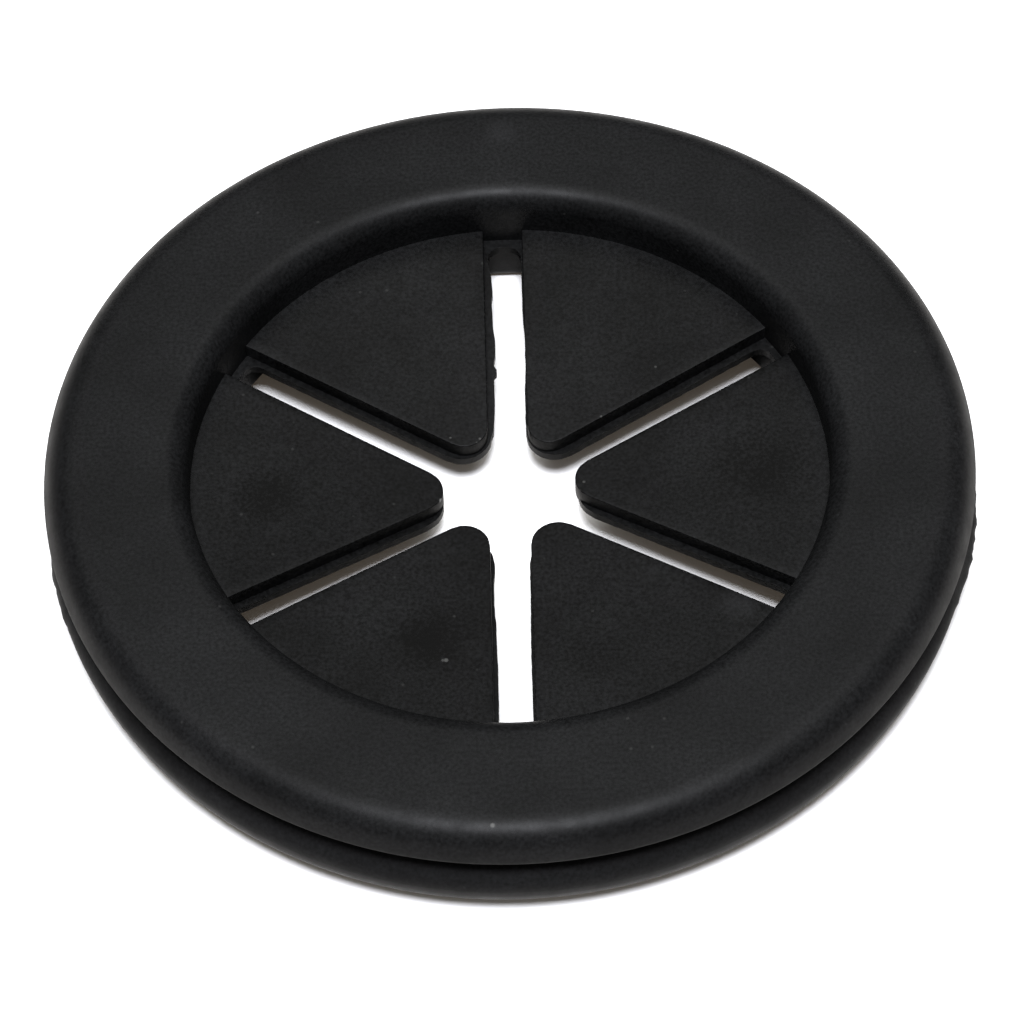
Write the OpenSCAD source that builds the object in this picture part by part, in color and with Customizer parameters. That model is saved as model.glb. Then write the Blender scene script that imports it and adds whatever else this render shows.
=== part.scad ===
// Rubber grommet for a round cut-out in a panel. Two flanges and a neck form the groove that holds the
// panel's edge. A thin web inside the collar is slit into leaves that close round a cord.
// Frame: +Z up along the axis of the ring, one slot points along +Y, and the origin is the middle of the
// flat face that the part lies on. All lengths are in millimetres and all angles in degrees.

/* [Model] */
// Sub-part to draw, or all of them

/* [Upper flange] */
// Outside diameter of the upper flange
flange_d = 63; // [58:0.5:90]
// Thickness of the upper flange
flange_t = 2.7; // [2.7:0.05:5]
// Radius of the rounded top edge at the rim
rim_r = 2.3; // [0.5:0.1:2.4]
// Radius of the small rounding along the flange's lower edge
lip_r = 0.3; // [0.1:0.05:0.3]

/* [Groove] */
// Width of the groove, which is the thickness of the panel it takes
groove_w = 1.6; // [1:0.05:4]
// Diameter of the neck at the bottom of the groove, which is the size of the panel's cut-out
neck_d = 51; // [48:0.5:56]

/* [Lower flange] */
// Outside diameter of the lower flange
foot_d = 62.3; // [58:0.1:90]
// Thickness of the lower flange
foot_t = 4.6; // [3.6:0.1:7]
// Radius of the lower flange's upper edge
foot_top_r = 1.5; // [0.2:0.1:1.8]
// Radius of the lower flange's bottom edge
foot_base_r = 1.6; // [0.2:0.1:1.8]

/* [Opening] */
// Wall of the collar between the opening and the bottom of the groove
neck_wall = 3.8; // [2:0.1:6]
// Radius of the opening's rounded top edge
mouth_r = 1.6; // [0.2:0.1:2]
// Radius of the opening's rounded bottom edge
base_r = 1.5; // [0.2:0.1:2]

/* [Leaves] */
// Number of leaves, and of the slots between them
leaf_count = 6; // [4:1:10]
// Depth of the leaves below the top face, where they meet the wall
leaf_depth = 3.5; // [2.5:0.1:4.5]
// Thickness of the upper layer of the leaves
leaf_upper_t = 1.1; // [0.6:0.1:1.6]
// Thickness of the lower layer, which stands out as a step along the slots
leaf_lower_t = 0.6; // [0.4:0.1:1.2]
// Amount that the leaves sink from the wall to the middle
leaf_sag = 1.5; // [0:0.1:2]
// Radius of the rounded tip of each leaf
tip_r = 1.8; // [0.5:0.1:2.5]
// Radius of the hollow corner between the leaves and the wall
root_r = 0.3; // [0.1:0.05:0.6]

/* [Slots] */
// Width of a slot in the upper layer
slot_w = 2.75; // [1.6:0.05:4]
// Width of the step that the lower layer forms on each side of a slot
step_w = 0.2; // [0.1:0.05:0.5]
// Distance from the end of a slot in the lower layer to the wall
slot_land = 0.35; // [0.3:0.01:1]
// Radius of the corners at the end of a slot in the lower layer
slot_end_r = 1; // [0.2:0.1:1.1]
// Distance that the lower half of the mould stood out of line with the upper half, along -Y
mould_shift = 0.3; // [0:0.05:0.3]

/* [Hidden] */
$fn = 96;
flange_r = flange_d / 2;
foot_r = foot_d / 2;
neck_r = neck_d / 2;
opening_d = neck_d - 2 * neck_wall;
opening_r = opening_d / 2;
flange_z = foot_t + groove_w;
height = flange_z + flange_t;
leaf_z = height - leaf_depth;
step_z = leaf_z - leaf_upper_t;
leaf_under_z = step_z - leaf_lower_t;
// Length that the leaves run on into the collar, so that they are one solid with it
root_overlap = 1;
// Length that a cut runs past the material it cuts
past = 1;
lower_slot_w = slot_w - 2 * step_w;
lower_tip_r = tip_r + step_w;
// A tip's circle is larger by this than one that only touches the slots' sides, so that it crosses them
tip_ease = 0.02;
sag_angle = atan(leaf_sag / opening_r);
rubber = [0.055, 0.055, 0.06];

// Height of a leaf's surface at distance r from the axis, for a surface that meets the wall at wall_z.
function leaf_surface(wall_z, r) = wall_z - leaf_sag * (opening_r - r) / opening_r;

// The material outside a rounded edge of radius r. The edge's corner is at the origin and its solid lies
// towards side_r and side_z, which are 1 or -1.
module edge_cut(r, side_r, side_z) {
    difference() {
        translate([side_r < 0 ? -r : -past, side_z < 0 ? -r : -past]) {
            square(r + past);
        }
        translate([side_r * r, side_z * r]) {
            circle(r);
        }
    }
}

// Section of the collar and its two flanges, with the groove between them.
module ring_section() {
    difference() {
        union() {
            translate([opening_r, 0]) {
                square([neck_r - opening_r, height]);
            }
            translate([opening_r, flange_z]) {
                square([flange_r - opening_r, flange_t]);
            }
            translate([opening_r, 0]) {
                square([foot_r - opening_r, foot_t]);
            }
        }
        translate([flange_r, height]) {
            edge_cut(rim_r, -1, -1);
        }
        translate([flange_r, flange_z]) {
            edge_cut(lip_r, -1, 1);
        }
        translate([foot_r, foot_t]) {
            edge_cut(foot_top_r, -1, -1);
        }
        translate([foot_r, 0]) {
            edge_cut(foot_base_r, -1, 1);
        }
        translate([opening_r, height]) {
            edge_cut(mouth_r, 1, -1);
        }
        translate([opening_r, 0]) {
            edge_cut(base_r, 1, 1);
        }
    }
}

// Section of the hollow corner where the leaves' top meets the wall.
module root_section() {
    centre_r = opening_r - root_r;
    centre_z = leaf_surface(leaf_z, centre_r) + root_r / cos(sag_angle);
    touch_r = centre_r + root_r * sin(sag_angle);
    touch_z = centre_z - root_r * cos(sag_angle);
    difference() {
        polygon([
            [touch_r, touch_z],
            [opening_r, step_z],
            [opening_r + root_overlap, step_z],
            [opening_r + root_overlap, centre_z],
            [centre_r, centre_z],
        ]);
        translate([centre_r, centre_z]) {
            circle(root_r);
        }
    }
}

// Section of the whole web, before the slots are cut.
module web_section() {
    outer_r = opening_r + root_overlap;
    polygon([
        [0, leaf_surface(leaf_under_z, 0)],
        [outer_r, leaf_surface(leaf_under_z, outer_r)],
        [outer_r, leaf_surface(leaf_z, outer_r)],
        [0, leaf_surface(leaf_z, 0)],
    ]);
    root_section();
}

// Section of the space over the step that the lower layer forms.
module over_step_section() {
    outer_r = opening_r + root_overlap + past;
    polygon([
        [0, leaf_surface(step_z, 0)],
        [outer_r, leaf_surface(step_z, outer_r)],
        [outer_r, height + past],
        [0, height + past],
    ]);
}

// Outline of one slot of width w along +X, which ends at distance end_r with corners of radius corner_r, or
// square if that is 0.
module slot_outline(w, end_r, corner_r) {
    translate([0, -w / 2]) {
        square([end_r - corner_r, w]);
    }
    if (corner_r > 0) {
        translate([end_r - corner_r - past, corner_r - w / 2]) {
            square([corner_r + past, w - 2 * corner_r]);
        }
        for (side = [-1, 1]) {
            translate([end_r - corner_r, side * (w / 2 - corner_r)]) {
                circle(corner_r);
            }
        }
    }
}

// Outline of the space in front of one leaf's rounded tip, for a leaf along +X between slots of width w.
module tip_outline(w, r) {
    half_angle = 180 / leaf_count;
    centre_x = (w / 2 + r) / sin(half_angle);
    touch = [centre_x - r * sin(half_angle), r * cos(half_angle)];
    difference() {
        polygon([[0, 0], [touch[0], -touch[1]], [centre_x, 0], touch]);
        translate([centre_x, 0]) {
            circle(r + tip_ease);
        }
    }
}

// Outline of all the slots of one layer and the star in the middle.
module star_outline(w, end_r, corner_r, r) {
    for (i = [0 : leaf_count - 1]) {
        rotate(90 + i * 360 / leaf_count) {
            slot_outline(w, end_r, corner_r);
        }
        rotate(90 + (i + 0.5) * 360 / leaf_count) {
            tip_outline(w, r);
        }
    }
}

// The slots in the upper layer: straight ends, cut as far as the wall and down to the step.
module upper_slots() {
    intersection() {
        linear_extrude(height + past) {
            star_outline(slot_w, opening_r + root_overlap + past, 0, tip_r);
        }
        rotate_extrude() {
            over_step_section();
        }
    }
}

// The slots in the lower layer: narrower, with rounded ends short of the wall.
module lower_slots() {
    translate([0, -mould_shift, 0]) {
        linear_extrude(height + past) {
            star_outline(lower_slot_w, opening_r - slot_land, slot_end_r, lower_tip_r);
        }
    }
}

// The web of leaves.
module leaves() {
    difference() {
        rotate_extrude() {
            web_section();
        }
        upper_slots();
        lower_slots();
    }
}

// The whole moulding.
module grommet() {
    color(rubber) {
        union() {
            rotate_extrude() {
                ring_section();
            }
            leaves();
        }
    }
}

union() {
    grommet();
}
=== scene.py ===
"""A black rubber grommet that lies on a white table, seen from above its front edge.

The moulding is one mesh: a turned collar with two flanges, and six leaves that sag towards the middle.
Lengths are written in millimetres and turned into metres by MM where a mesh is made.
"""

import math

import bmesh
import bpy
from mathutils import Matrix, Vector, noise


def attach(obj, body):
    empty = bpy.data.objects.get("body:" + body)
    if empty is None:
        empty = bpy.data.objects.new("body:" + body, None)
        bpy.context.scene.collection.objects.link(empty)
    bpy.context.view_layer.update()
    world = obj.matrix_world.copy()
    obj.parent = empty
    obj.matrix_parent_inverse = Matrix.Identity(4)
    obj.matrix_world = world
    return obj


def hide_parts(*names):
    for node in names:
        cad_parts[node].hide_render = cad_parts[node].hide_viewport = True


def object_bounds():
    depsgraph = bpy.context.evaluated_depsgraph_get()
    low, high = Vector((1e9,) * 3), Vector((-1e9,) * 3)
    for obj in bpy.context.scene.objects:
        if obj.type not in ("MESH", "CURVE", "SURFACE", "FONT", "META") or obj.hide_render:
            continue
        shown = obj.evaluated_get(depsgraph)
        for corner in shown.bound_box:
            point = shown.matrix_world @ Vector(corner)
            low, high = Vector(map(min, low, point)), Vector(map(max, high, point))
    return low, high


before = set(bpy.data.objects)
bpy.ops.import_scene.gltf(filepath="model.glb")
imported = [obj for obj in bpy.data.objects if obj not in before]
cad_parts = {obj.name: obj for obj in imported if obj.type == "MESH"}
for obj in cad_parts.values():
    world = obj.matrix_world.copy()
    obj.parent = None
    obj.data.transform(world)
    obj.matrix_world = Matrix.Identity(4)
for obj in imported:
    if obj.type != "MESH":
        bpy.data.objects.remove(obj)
CAD_LOW, CAD_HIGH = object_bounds()

MM = 0.001
LEAF_COUNT = 6
HALF_LEAF = math.pi / LEAF_COUNT

# The ring's section, in millimetres
FLANGE_R = CAD_HIGH.x / MM
HEIGHT = CAD_HIGH.z / MM
FLANGE_T = 2.85
RIM_R = 2.3
LIP_R = 0.5
GROOVE_W = 1.45
NECK_R = 25.5
FOOT_R = 31.5
FOOT_TOP_R = 1.6
FOOT_BASE_R = 2.95
OPENING_R = 21.7
MOUTH_R = 1.6
BASE_R = 0.9
FLANGE_Z = HEIGHT - FLANGE_T
FOOT_T = FLANGE_Z - GROOVE_W

# The leaves
LEAF_Z = HEIGHT - 3.5
UPPER_T = 1.1
LOWER_T = 0.6
SLOT_HALF = 1.375
STEP_W = 0.2
LOWER_TIP_SETBACK = 0.5
SLOT_LAND = 0.35
SLOT_END_R = 1.0
LEAF_SHIFT = Vector((-0.06, 0.0))
MOULD_SHIFT = Vector((0.08, -0.3))
FOOT_SHIFT = Vector((-0.07, 0.02))
EDGE_R = 0.06
EDGE_TURNS = [math.radians(angle) for angle in (0, 30, 60, 90)]
# Hidden joins: overlap of a leaf's layers, depth of its root in the collar, reach past a slot's middle
LAYER_OVERLAP = 0.25
ROOT_DEPTH = 0.7
PAST_AXIS = 0.03
PAST_SLOT_END = 0.01
TINY = 1e-6
# How far each leaf has sunk at the middle, by the direction it points in, in degrees
LEAF_SAG = {0: 0.85, 60: 1.35, 120: 1.7, 180: 1.9, 240: 0.75, 300: 0.55}
TIP_RADII = {0: 1.75, 60: 1.55, 120: 1.65, 180: 1.75, 240: 1.75, 300: 1.85}
# Flash along the slots' lower edges: leaf, side of it, place along the slot, height and half-width.
# A height below 0 is a stretch where the edge lies back.
FLASH = (
    (120, -1, 12.0, 0.24, 9.0),
    (120, -1, 18.3, 0.14, 1.6),
    (120, -1, 13.0, 0.13, 1.6),
    (120, -1, 10.9, 0.2, 0.35),
    (60, 1, 12.3, -0.1, 3.5),
    (240, 1, 4.8, 0.36, 1.2),
    (240, 1, 8.6, -0.1, 2.5),
    (240, 1, 16.0, 0.05, 4.0),
    (300, -1, 15.0, 0.07, 7.0),
)
FLASH_RIPPLE = 0.035
RIPPLE_WAVES = 1.7
RIPPLE_SIDE_GAP = 5.0
BUMP_FLATNESS = 1.5
# The whole is drawn a little small, so that the lower flange's flash stays inside the nominal box
DRAWN_SCALE = 0.992
# Where the mould's halves meet: tolerance at the lower flange's top, and blend inside the opening
SPLIT_TOLERANCE = 0.01
SPLIT_BLEND = 0.8
# The soft ring lies slightly out of round, with three shallow lobes
LOBE_HEIGHT = 0.1
LOBE_ANGLE = math.radians(30)
# Flash round the lower flange: a lip on the right, and a ragged line on both sides
LIP_FLASH = 0.27
LIP_FLASH_ANGLE = math.radians(-3)
LIP_FLASH_SPREAD = math.radians(12)
LIP_FLASH_REACH = 1.6
RIM_FLASH = 0.12
RIM_FLASH_SPREAD = math.radians(26)
RIM_FLASH_REACH = 1.4
RIM_FLASH_BAND = 0.6
RIM_FLASH_BASE = 0.25
COARSE_WAVES = 40
COARSE_LAYER = 3.0
FINE_WAVES = 110
FINE_LAYER = 9.0
FINE_SHARE = 0.6

# Specks on the part: place, radius and how pale each is. Those at the leaf tips are painted glints, and
# the one on the near rim is a painted glint of a bubble in the rim's highlight; the rest stand for dust
# and chips.
SPECKS_AND_GLINTS = (
    ((-4.5, -14.9, 5.2), 0.2, 0.2),
    ((-4.7, -14.9, 5.2), 0.15, 0.14),
    ((14.8, 9.35, 5.1), 0.17, 0.6),
    ((10.3, 9.3, 4.9), 0.12, 0.12),
    ((5.04, -0.3, 4.75), 0.14, 0.14),
    ((-1.4, 5.0, 4.1), 0.13, 0.25),
    ((-1.56, 4.4, 4.1), 0.1, 0.18),
    ((-1.98, 4.2, 4.1), 0.13, 0.18),
    ((-2.2, 3.9, 4.1), 0.1, 0.15),
    ((-4.0, 4.3, 4.2), 0.12, 0.15),
    ((6.4, 5.4, 4.6), 0.12, 0.16),
    ((4.7, -1.0, 4.75), 0.12, 0.15),
    ((-4.65, -0.85, 3.85), 0.24, 0.8),
    ((-1.35, 9.5, 4.4), 0.12, 0.13),
    ((-1.6, -30.05, 8.67), 0.22, 0.3),
    ((28.6, -11.85, 8.6), 0.17, 0.15),
    ((28.6, -13.0, 8.5), 0.12, 0.13),
)
# Soft changes of tone: place, radius of the middle and of the edge, and strength, below 0 if darker. The
# first is painted shade over all the leaves, which sit low inside the collar and are darker than the
# flanges; the others are smudges.
SMUDGES_AND_SHADE = (
    ((0.0, 0.0, 4.5), 20.0, 21.9, -0.48),
    ((-16.6, -0.7, 5.0), 0.6, 3.2, -0.6),
    ((-5.6, -13.0, 5.1), 0.4, 3.2, -0.5),
    ((16.8, 0.4, 5.2), 1.0, 4.2, -0.4),
    ((5.2, -15.0, 5.2), 0.6, 3.0, -0.3),
    ((15.0, -11.2, 5.2), 0.3, 1.8, 0.8),
    ((0.1, 27.8, 8.8), 0.3, 1.6, 0.7),
)
# Changes of roughness: centre, radius of the middle and of the edge, and strength. The two cancel out but
# for a shell that takes in the upper flange's lower edge and the lower flange's top, which are duller.
DULL_PATCHES = (
    ((0.0, 0.0, 20.0), 34.9, 36.1, 0.25),
    ((0.0, 0.0, 20.0), 33.0, 34.1, -0.25),
)

# Noise over the rubber: scale, detail, and about the lowest and the highest value
GRAIN = (4200.0, 2.0, 0.5, 1.5)
CLOUD = (150.0, 5.0, 0.7, 1.3)
ROUGHNESS = (700.0, 4.0, 0.38, 0.48)
RELIEF = (2600.0, 3.0, 0.0, 1.0)
NOISE_SPAN = (0.3, 0.7)
SPECK_AND_GLINT_CORE = 0.4
DUST_SCALE = 900.0
DUST_CORE = 0.05
DUST_EDGE = 0.13
DUST_STRENGTH = 0.05
DUST_RARITY = 0.8
DARKEST = (0.0001, 0.0001, 0.0001, 1.0)
BLACK = (0.0046, 0.0047, 0.0049, 1.0)
# Colour of the scattered dust and of the pale specks, some of which are painted glints at the leaf tips
# and on the near rim.
DUST_AND_GLINT_COLOUR = (0.2, 0.2, 0.19, 1.0)
SPECULAR_LEVEL = 0.085
RELIEF_STRENGTH = 0.25
RELIEF_DEPTH = 0.00001

# The meshes
RING_STEPS = 480
ARC_STEPS = 10
LEAF_ROWS = 76
LEAF_COLUMNS = 24
END_ROWS = 12
SHARP_ANGLE = math.radians(35)


def arc(centre_r, centre_z, radius, start, end, steps=ARC_STEPS):
    """Points of a section's arc from one angle to another, in degrees, counted from +r towards +z."""
    points = []
    for i in range(steps + 1):
        angle = math.radians(start + (end - start) * i / steps)
        points.append((centre_r + radius * math.cos(angle), centre_z + radius * math.sin(angle)))
    return points


def straight(start, end, steps):
    """Points inside a straight stretch of a section, without its ends."""
    return [
        (start[0] + (end[0] - start[0]) * i / steps, start[1] + (end[1] - start[1]) * i / steps)
        for i in range(1, steps)
    ]


def ring_section():
    """The closed section of the collar and flanges, anticlockwise with r to the right and z up."""
    foot = arc(OPENING_R + BASE_R, BASE_R, BASE_R, 180, 270)
    foot += arc(FOOT_R - FOOT_BASE_R, FOOT_BASE_R, FOOT_BASE_R, 270, 360)
    foot += arc(FOOT_R - FOOT_TOP_R, FOOT_T - FOOT_TOP_R, FOOT_TOP_R, 0, 90)
    groove = [(NECK_R, FOOT_T), (NECK_R, FLANGE_Z)]
    flange = arc(FLANGE_R - LIP_R, FLANGE_Z + LIP_R, LIP_R, 270, 360, 4)
    flange += arc(FLANGE_R - RIM_R, HEIGHT - RIM_R, RIM_R, 0, 90, 16)
    mouth = arc(OPENING_R + MOUTH_R, HEIGHT - MOUTH_R, MOUTH_R, 90, 180, 14)
    face = straight(flange[-1], mouth[0], 4)
    wall = straight(mouth[-1], foot[0], 4)
    return foot + groove + flange + face + mouth + wall


def smooth_step(value):
    """0 below 0, 1 above 1 and a smooth rise between them."""
    value = min(1.0, max(0.0, value))
    return value * value * (3 - 2 * value)


def lower_half_share(r, z):
    """How far a point of the ring's section belongs to the mould's lower half, from 0 to 1."""
    if r >= NECK_R:
        return 1.0 if z < FOOT_T + SPLIT_TOLERANCE else 0.0
    return smooth_step((LEAF_Z - UPPER_T - z) / SPLIT_BLEND)


def round_noise(angle, waves, layer):
    """Noise round the ring: finer with more waves, and another pattern in each layer."""
    return noise.noise(Vector((math.cos(angle) * waves, math.sin(angle) * waves, layer)))


def rim_flash(angle, z):
    """Height of the ragged flash round the lower flange at an angle and a height."""
    from_side = min(angle % math.pi, math.pi - angle % math.pi)
    fade = smooth_step(RIM_FLASH_REACH - from_side / RIM_FLASH_SPREAD)
    level = smooth_step(1 - abs(z - (FOOT_T - FOOT_TOP_R)) / RIM_FLASH_BAND)
    coarse = round_noise(angle, COARSE_WAVES, COARSE_LAYER)
    fine = round_noise(angle, FINE_WAVES, FINE_LAYER)
    from_lip = abs((angle - LIP_FLASH_ANGLE + math.pi) % (2 * math.pi) - math.pi)
    lip = LIP_FLASH * smooth_step(LIP_FLASH_REACH - from_lip / LIP_FLASH_SPREAD)
    ragged = max(0.0, RIM_FLASH_BASE + coarse + FINE_SHARE * fine)
    return level * (lip + RIM_FLASH * fade * ragged)


def ring_point(r, z, angle):
    """Where a point of the ring's section lies once turned to an angle, with the mould's faults."""
    share = lower_half_share(r, z)
    if r > NECK_R + 1:
        r += LOBE_HEIGHT * math.cos(3 * (angle - LOBE_ANGLE))
        if share > 0:
            r += rim_flash(angle, z)
    x = r * math.cos(angle) + FOOT_SHIFT.x * share
    y = r * math.sin(angle) + FOOT_SHIFT.y * share
    return Vector((x, y, z)) * MM


def turned_mesh(section, steps):
    """A closed mesh made by turning a section round the z axis."""
    mesh = bmesh.new()
    rings = []
    for i in range(steps):
        angle = 2 * math.pi * i / steps
        rings.append([mesh.verts.new(ring_point(r, z, angle)) for r, z in section])
    for i in range(steps):
        here, there = rings[i], rings[(i + 1) % steps]
        for k in range(len(section)):
            after = (k + 1) % len(section)
            mesh.faces.new((here[k], there[k], there[after], here[after]))
    return mesh


class LeafOutline:
    """The outline of one layer of a leaf along +x, between slots of half width slot_half.

    A place on the leaf is given by a share of the way from the tip to the wall and an angle seen from
    the point where the leaf's two sides would meet.
    """

    def __init__(self, slot_half, tip_r, outer_r):
        self.tip_r = tip_r
        self.outer_r = outer_r
        self.apex_x = slot_half / math.sin(HALF_LEAF)
        self.centre = (slot_half + tip_r) / math.sin(HALF_LEAF) - self.apex_x

    def near(self, angle):
        """Distance from the apex to the rounded tip."""
        along = self.centre * math.cos(angle)
        across = self.centre * math.sin(angle)
        return along - math.sqrt(max(0.0, self.tip_r ** 2 - across ** 2))

    def far(self, angle):
        """Distance from the apex to the leaf's hidden end in the collar."""
        across = self.apex_x * math.sin(angle)
        return math.sqrt(self.outer_r ** 2 - across ** 2) - self.apex_x * math.cos(angle)

    def place(self, share, angle):
        """The point at a share of the way from tip to wall and at an angle."""
        near = self.near(angle)
        distance = near + (self.far(angle) - near) * share
        return Vector((self.apex_x + distance * math.cos(angle), distance * math.sin(angle)))


def row_shares(outline):
    """Shares of the way from tip to wall for the rows of a leaf's mesh, closer near the slot's end."""
    near, far = outline.near(HALF_LEAF), outline.far(HALF_LEAF)

    def share_at(along):
        """Share at the given distance along the slot's axis."""
        distance = along - outline.apex_x * math.cos(HALF_LEAF)
        return (distance - near) / (far - near)

    slot_end = OPENING_R - SLOT_LAND
    bend = slot_end - SLOT_END_R
    plain = share_at(bend)
    shares = [plain * i / LEAF_ROWS for i in range(LEAF_ROWS)]
    for i in range(END_ROWS + 1):
        shares.append(share_at(bend + SLOT_END_R * math.sin(math.pi / 2 * i / END_ROWS)))
    shares.append(share_at(slot_end + PAST_SLOT_END))
    shares.append(share_at(OPENING_R))
    shares.append(1.0)
    return shares


def flash_height(direction, side, along):
    """How far the lower layer's side bulges into the slot at a distance along it."""
    height = 0.0
    for leaf, leaf_side, place, bump, half_width in FLASH:
        if (leaf, leaf_side) == (direction, side):
            height += bump * smooth_step(BUMP_FLATNESS * (1 - abs(along - place) / half_width))
    ripple = noise.noise(Vector((along * RIPPLE_WAVES, direction, side * RIPPLE_SIDE_GAP)))
    return height + FLASH_RIPPLE * ripple


def lower_side(direction, point, side):
    """Where a point of a leaf's side lies on the lower layer, which has a rounded slot end and flash."""
    slot_angle = side * HALF_LEAF
    axis = Vector((math.cos(slot_angle), math.sin(slot_angle)))
    into_leaf = Vector((axis.y, -axis.x)) * side
    along = point.dot(axis)
    half = SLOT_HALF - STEP_W
    slot_end = OPENING_R - SLOT_LAND
    bend = slot_end - SLOT_END_R
    if along > slot_end + TINY:
        return axis * along - into_leaf * PAST_AXIS
    offset = half
    if along > bend:
        offset = half - SLOT_END_R + math.sqrt(max(0.0, SLOT_END_R ** 2 - (along - bend) ** 2))
    flash = flash_height(direction, side, along) * smooth_step((slot_end - along) / SLOT_END_R)
    return axis * along + into_leaf * (offset - flash)


def layer_mesh(direction, place, last, profile):
    """One closed layer of a leaf.

    place gives a point of the layer's grid by row, column and inset, last is the grid's last row, and
    profile lists the inset and the depth of each edge line from the top face to the bottom face.
    """
    border = [(i, 0) for i in range(last, 0, -1)]
    border += [(0, j) for j in range(LEAF_COLUMNS)]
    border += [(i, LEAF_COLUMNS) for i in range(last)]
    border += [(last, j) for j in range(LEAF_COLUMNS, 0, -1)]
    turn = Matrix.Rotation(math.radians(direction), 2)
    mesh = bmesh.new()

    def vertex(i, j, inset, depth):
        """A new vertex of the turned, shifted and sunk leaf."""
        point = turn @ place(i, j, inset) + LEAF_SHIFT
        sunk = LEAF_SAG[direction] * (OPENING_R - point.length) / OPENING_R
        return mesh.verts.new((point.x * MM, point.y * MM, (LEAF_Z - depth - sunk) * MM))

    def face_grid(loop, inset, depth):
        """Vertices of a whole face whose border is already there."""
        grid = dict(zip(border, loop))
        for i in range(1, last):
            for j in range(1, LEAF_COLUMNS):
                grid[i, j] = vertex(i, j, inset, depth)
        return grid

    loops = [[vertex(i, j, inset, depth) for i, j in border] for inset, depth in profile]
    top = face_grid(loops[0], *profile[0])
    bottom = face_grid(loops[-1], *profile[-1])
    for i in range(last):
        for j in range(LEAF_COLUMNS):
            mesh.faces.new((top[i, j], top[i + 1, j], top[i + 1, j + 1], top[i, j + 1]))
            mesh.faces.new((bottom[i, j], bottom[i, j + 1], bottom[i + 1, j + 1], bottom[i + 1, j]))
    for outer, inner in zip(loops, loops[1:]):
        for k in range(len(border)):
            after = (k + 1) % len(border)
            mesh.faces.new((outer[k], inner[k], inner[after], outer[after]))
    bmesh.ops.recalc_face_normals(mesh, faces=mesh.faces)
    return mesh


def leaf_layers(direction):
    """The upper and the lower layer of one leaf, which overlap a little in height."""
    outer_r = OPENING_R + ROOT_DEPTH
    tip_r = TIP_RADII[direction]
    angles = [HALF_LEAF * (2 * j / LEAF_COLUMNS - 1) for j in range(LEAF_COLUMNS + 1)]
    upper = LeafOutline(SLOT_HALF, tip_r, outer_r)
    lower = LeafOutline(SLOT_HALF - STEP_W, tip_r + LOWER_TIP_SETBACK, outer_r)
    upper_shares = row_shares(upper)
    lower_shares = row_shares(lower)
    last = len(upper_shares) - 1
    shift = Matrix.Rotation(math.radians(-direction), 2) @ MOULD_SHIFT

    def upper_place(i, j, inset):
        outline = LeafOutline(SLOT_HALF + inset, tip_r - inset, outer_r)
        return outline.place(upper_shares[i], angles[j])

    def lower_place(i, j, inset):
        point = lower.place(lower_shares[i], angles[j])
        if i > 0 and j in (0, LEAF_COLUMNS):
            point = lower_side(direction, point, -1 if j == 0 else 1)
        return point + shift

    rounded = [(EDGE_R * (1 - math.sin(turn)), EDGE_R * (1 - math.cos(turn))) for turn in EDGE_TURNS]
    upper_profile = rounded + [(0.0, UPPER_T + LAYER_OVERLAP)]
    lower_profile = [(0.0, UPPER_T), (0.0, UPPER_T + LOWER_T)]
    return (
        layer_mesh(direction, upper_place, last, upper_profile),
        layer_mesh(direction, lower_place, last, lower_profile),
    )


def new_object(name, mesh):
    """An object with the given bmesh, which is freed."""
    data = bpy.data.meshes.new(name)
    mesh.to_mesh(data)
    mesh.free()
    made = bpy.data.objects.new(name, data)
    bpy.context.scene.collection.objects.link(made)
    return made


def joined(base, others):
    """base with the others united to it as one closed mesh."""
    for other in others:
        union = base.modifiers.new("union", "BOOLEAN")
        union.operation = "UNION"
        union.solver = "MANIFOLD"
        union.object = other
        graph = bpy.context.evaluated_depsgraph_get()
        data = bpy.data.meshes.new_from_object(base.evaluated_get(graph))
        base.modifiers.clear()
        base.data = data
        bpy.data.objects.remove(other)
    return base


def build_grommet():
    """The whole moulding as one closed mesh."""
    ring_mesh = turned_mesh(ring_section(), RING_STEPS)
    bmesh.ops.recalc_face_normals(ring_mesh, faces=ring_mesh.faces)
    ring = new_object("rubber_grommet", ring_mesh)
    layers = [layer for direction in LEAF_SAG for layer in leaf_layers(direction)]
    leaves = [new_object(f"layer_{k}", layer) for k, layer in enumerate(layers)]
    grommet = joined(ring, leaves)
    grommet.data.transform(Matrix.Scale(DRAWN_SCALE, 4))
    for polygon in grommet.data.polygons:
        polygon.use_smooth = True
    grommet.data.set_sharp_from_angle(angle=SHARP_ANGLE)
    return grommet


def noise_range(nodes, links, place, scale, detail, low, high):
    """A noise over the part, stretched to run from about low to about high."""
    texture = nodes.new("ShaderNodeTexNoise")
    links.new(place, texture.inputs["Vector"])
    texture.inputs["Scale"].default_value = scale
    texture.inputs["Detail"].default_value = detail
    spread = nodes.new("ShaderNodeMapRange")
    links.new(texture.outputs["Fac"], spread.inputs["Value"])
    spread.inputs["From Min"].default_value, spread.inputs["From Max"].default_value = NOISE_SPAN
    spread.inputs["To Min"].default_value = low
    spread.inputs["To Max"].default_value = high
    return spread.outputs["Result"]


def combined(nodes, links, operation, first, second):
    """Two values put together by a maths operation."""
    maths = nodes.new("ShaderNodeMath")
    maths.operation = operation
    links.new(first, maths.inputs[0])
    links.new(second, maths.inputs[1])
    return maths.outputs[0]


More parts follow.
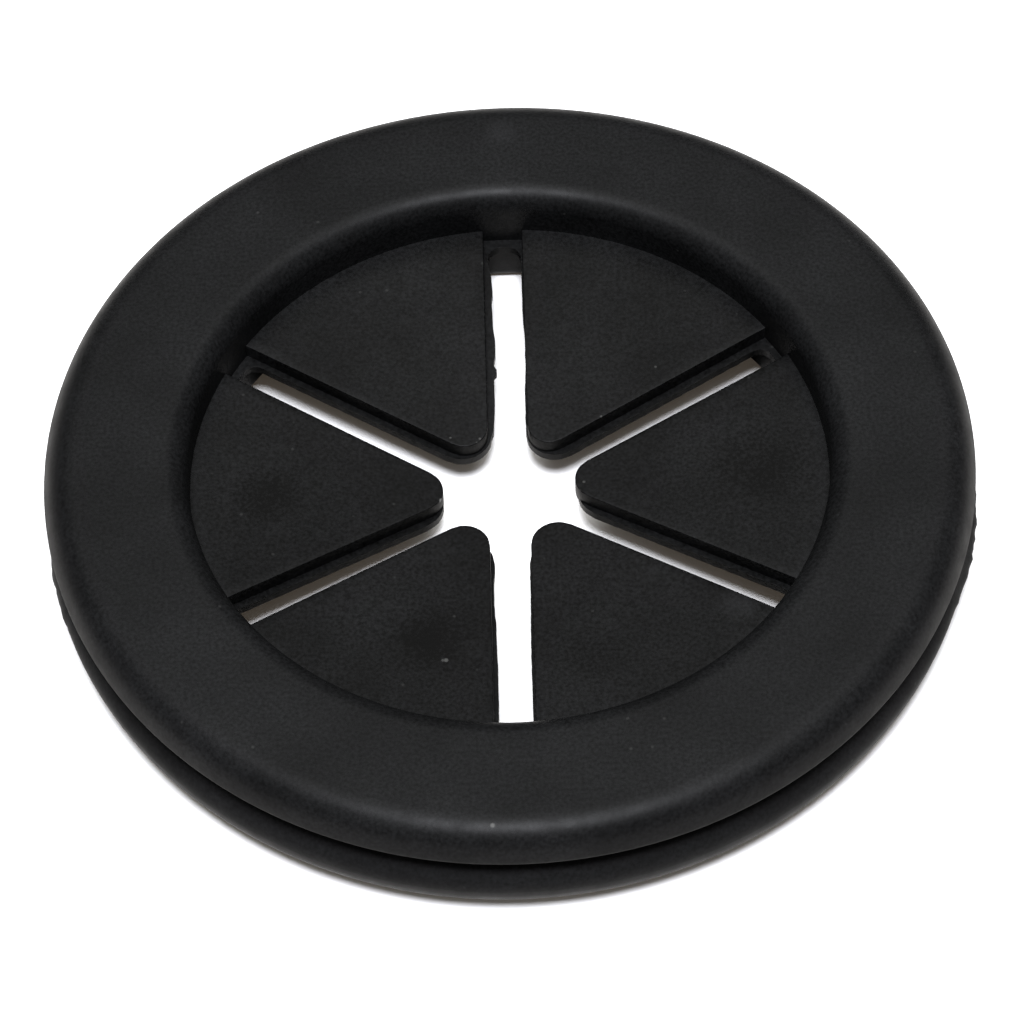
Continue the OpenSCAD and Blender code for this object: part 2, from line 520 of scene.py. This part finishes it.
def spot(nodes, links, place, centre, core, edge, strength):
    """A round patch about a point of the part, full out to core and gone at edge, in millimetres."""
    apart = nodes.new("ShaderNodeVectorMath")
    apart.operation = "DISTANCE"
    links.new(place, apart.inputs[0])
    apart.inputs[1].default_value = Vector(centre) * MM * DRAWN_SCALE
    fade = nodes.new("ShaderNodeMapRange")
    fade.interpolation_type = "SMOOTHSTEP"
    links.new(apart.outputs["Value"], fade.inputs["Value"])
    fade.inputs["From Min"].default_value = core * MM
    fade.inputs["From Max"].default_value = edge * MM
    fade.inputs["To Min"].default_value = strength
    fade.inputs["To Max"].default_value = 0.0
    return fade.outputs["Result"]


def scattered_dust(nodes, links, place):
    """Tiny pale specks strewn thinly over the part."""
    cells = nodes.new("ShaderNodeTexVoronoi")
    links.new(place, cells.inputs["Vector"])
    cells.inputs["Scale"].default_value = DUST_SCALE
    fade = nodes.new("ShaderNodeMapRange")
    links.new(cells.outputs["Distance"], fade.inputs["Value"])
    fade.inputs["From Min"].default_value = DUST_CORE
    fade.inputs["From Max"].default_value = DUST_EDGE
    fade.inputs["To Min"].default_value = DUST_STRENGTH
    fade.inputs["To Max"].default_value = 0.0
    chosen = nodes.new("ShaderNodeMath")
    chosen.operation = "GREATER_THAN"
    links.new(cells.outputs["Color"], chosen.inputs[0])
    chosen.inputs[1].default_value = DUST_RARITY
    return combined(nodes, links, "MULTIPLY", fade.outputs["Result"], chosen.outputs[0])


def rubber_material():
    """Satin black rubber with a fine grain, soft smudges, painted shade over the leaves, and a few pale
    specks, of which those at the leaf tips and on the near rim are painted glints.
    """
    material = bpy.data.materials.new("black_rubber")
    material.use_nodes = True
    nodes, links = material.node_tree.nodes, material.node_tree.links
    shader = nodes["Principled BSDF"]
    place = nodes.new("ShaderNodeTexCoord").outputs["Object"]

    dust_and_glints = scattered_dust(nodes, links, place)
    # The pale specks at the leaf tips and on the near rim are painted glints; the others stand for dust
    # and chips.
    for centre, radius, strength in SPECKS_AND_GLINTS:
        pale_spot = spot(nodes, links, place, centre, SPECK_AND_GLINT_CORE * radius, radius, strength)
        dust_and_glints = combined(nodes, links, "MAXIMUM", dust_and_glints, pale_spot)
    grain = noise_range(nodes, links, place, *GRAIN)
    cloud = noise_range(nodes, links, place, *CLOUD)
    tone = combined(nodes, links, "MULTIPLY", grain, cloud)
    # The first of these is painted shade that darkens the leaves in the collar's recess; the others are
    # smudges.
    for centre, core, edge, strength in SMUDGES_AND_SHADE:
        tone_patch = spot(nodes, links, place, centre, core, edge, strength)
        tone = combined(nodes, links, "ADD", tone, tone_patch)
    not_below_nothing = nodes.new("ShaderNodeMath")
    not_below_nothing.operation = "MAXIMUM"
    links.new(tone, not_below_nothing.inputs[0])
    not_below_nothing.inputs[1].default_value = 0.0
    black = nodes.new("ShaderNodeMix")
    black.data_type = "RGBA"
    black.inputs["A"].default_value = DARKEST
    black.inputs["B"].default_value = BLACK
    black.clamp_factor = False
    links.new(not_below_nothing.outputs[0], black.inputs["Factor"])
    colour = nodes.new("ShaderNodeMix")
    colour.data_type = "RGBA"
    links.new(black.outputs["Result"], colour.inputs["A"])
    colour.inputs["B"].default_value = DUST_AND_GLINT_COLOUR
    links.new(dust_and_glints, colour.inputs["Factor"])
    links.new(colour.outputs["Result"], shader.inputs["Base Color"])

    shader.inputs["Specular IOR Level"].default_value = SPECULAR_LEVEL
    roughness = noise_range(nodes, links, place, *ROUGHNESS)
    for centre, core, edge, strength in DULL_PATCHES:
        patch = spot(nodes, links, place, centre, core, edge, strength)
        roughness = combined(nodes, links, "ADD", roughness, patch)
    links.new(roughness, shader.inputs["Roughness"])

    bump = nodes.new("ShaderNodeBump")
    bump.inputs["Strength"].default_value = RELIEF_STRENGTH
    bump.inputs["Distance"].default_value = RELIEF_DEPTH
    links.new(noise_range(nodes, links, place, *RELIEF), bump.inputs["Height"])
    links.new(bump.outputs["Normal"], shader.inputs["Normal"])
    return material


def make_camera():
    """The camera, which looks down on the part from its front and stands slightly askew."""
    lens_mm = 151.17
    distance = 0.2968 * DRAWN_SCALE
    rise = math.radians(53.65)
    roll = math.radians(-2.68)
    turn = Matrix.Rotation(math.radians(0.94), 3, "Z")
    aim = Vector((0.000055, 0.00085, 0.0)) * DRAWN_SCALE

    back = Vector((0.0, -math.cos(rise), math.sin(rise)))
    right = Vector((1.0, 0.0, 0.0))
    up = right.cross(-back)
    leaned_right = right * math.cos(roll) + up * math.sin(roll)
    leaned_up = up * math.cos(roll) - right * math.sin(roll)
    axes = Matrix((turn @ leaned_right, turn @ leaned_up, turn @ back)).transposed()

    camera = bpy.data.objects.new("camera", bpy.data.cameras.new("camera"))
    camera.data.lens = lens_mm
    camera.data.sensor_width = 36.0
    camera.data.clip_start = 0.01
    camera.data.clip_end = 20.0
    camera.matrix_world = Matrix.Translation(turn @ (aim + back * distance)) @ axes.to_4x4()
    bpy.context.scene.collection.objects.link(camera)
    bpy.context.scene.camera = camera


def make_floor():
    """A white table top, slightly darker and warmer in reflections and faintly lit for the camera."""
    half_width = 2.0
    white = (0.9, 0.9, 0.9, 1.0)
    reflected = (0.8, 0.77, 0.73, 1.0)
    own_light = 0.04
    own_colour = (1.0, 0.8, 0.6, 1.0)
    mesh = bmesh.new()
    bmesh.ops.create_grid(mesh, x_segments=1, y_segments=1, size=half_width)
    floor = new_object("floor", mesh)
    material = bpy.data.materials.new("white_table")
    material.use_nodes = True
    nodes, links = material.node_tree.nodes, material.node_tree.links
    shader = nodes["Principled BSDF"]
    shader.inputs["Roughness"].default_value = 0.9
    shader.inputs["Specular IOR Level"].default_value = 0.0
    path = nodes.new("ShaderNodeLightPath")
    strength = nodes.new("ShaderNodeMath")
    strength.operation = "MULTIPLY"
    strength.inputs[1].default_value = own_light
    links.new(path.outputs["Is Camera Ray"], strength.inputs[0])
    shader.inputs["Emission Color"].default_value = own_colour
    links.new(strength.outputs[0], shader.inputs["Emission Strength"])
    tone = nodes.new("ShaderNodeMix")
    tone.data_type = "RGBA"
    tone.inputs["A"].default_value = white
    tone.inputs["B"].default_value = reflected
    links.new(path.outputs["Is Glossy Ray"], tone.inputs["Factor"])
    links.new(tone.outputs["Result"], shader.inputs["Base Color"])
    floor.data.materials.append(material)


def toward(elevation):
    """Unit vector in the middle plane, at an elevation counted from the far side over the top."""
    angle = math.radians(elevation)
    return Vector((0.0, math.cos(angle), math.sin(angle)))


def make_lamp():
    """A soft lamp that hangs a little on the near side of the part."""
    direction = toward(108.0)
    distance = 1.1
    lamp = bpy.data.lights.new("overhead", "AREA")
    lamp.shape = "DISK"
    lamp.size = 0.34
    lamp.energy = 17.5
    lamp.color = (0.97, 0.985, 1.05)
    holder = bpy.data.objects.new("overhead", lamp)
    holder.location = direction * distance
    holder.rotation_euler = direction.to_track_quat("Z", "Y").to_euler()
    bpy.context.scene.collection.objects.link(holder)


def add_glow(nodes, links, direction, edge, middle, strength):
    """A soft patch of light in the room round a direction.

    It is gone at the angle edge from the direction and full at the angle middle, both in degrees.
    """
    coordinates = nodes.new("ShaderNodeTexCoord")
    nearness = nodes.new("ShaderNodeVectorMath")
    nearness.operation = "DOT_PRODUCT"
    links.new(coordinates.outputs["Generated"], nearness.inputs[0])
    nearness.inputs[1].default_value = direction
    patch = nodes.new("ShaderNodeMapRange")
    patch.interpolation_type = "SMOOTHSTEP"
    patch.inputs["From Min"].default_value = math.cos(math.radians(edge))
    patch.inputs["From Max"].default_value = math.cos(math.radians(middle))
    patch.inputs["To Max"].default_value = strength
    links.new(nearness.outputs["Value"], patch.inputs["Value"])
    return patch.outputs["Result"]


def make_room():
    """A dim room with a soft glow overhead, which the camera sees as plain white."""
    glow_edge = 41.5
    glow_middle = 14.0
    glow_strength = 2.85
    room_strength = 0.2
    room_colour = (1.0, 1.0, 0.975, 1.0)
    white = (1.0, 1.0, 1.0, 1.0)
    world = bpy.data.worlds.new("room")
    bpy.context.scene.world = world
    world.use_nodes = True
    nodes, links = world.node_tree.nodes, world.node_tree.links
    background = nodes["Background"]
    glow = add_glow(nodes, links, toward(82.0), glow_edge, glow_middle, glow_strength)
    lit = nodes.new("ShaderNodeMath")
    lit.operation = "ADD"
    lit.inputs[1].default_value = room_strength
    links.new(glow, lit.inputs[0])
    path = nodes.new("ShaderNodeLightPath")
    shown = nodes.new("ShaderNodeMix")
    links.new(lit.outputs[0], shown.inputs["A"])
    shown.inputs["B"].default_value = 1.0
    links.new(path.outputs["Is Camera Ray"], shown.inputs["Factor"])
    links.new(shown.outputs["Result"], background.inputs["Strength"])
    shown_colour = nodes.new("ShaderNodeMix")
    shown_colour.data_type = "RGBA"
    shown_colour.inputs["A"].default_value = room_colour
    shown_colour.inputs["B"].default_value = white
    links.new(path.outputs["Is Camera Ray"], shown_colour.inputs["Factor"])
    links.new(shown_colour.outputs["Result"], background.inputs["Color"])


def set_view():
    """Colours are shown as they are, with no film look."""
    bpy.context.scene.view_settings.view_transform = "Standard"


grommet = build_grommet()
grommet.data.materials.clear()
grommet.data.materials.append(rubber_material())
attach(grommet, "root")
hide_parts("grommet")
make_floor()
make_lamp()
make_room()
make_camera()
set_view()
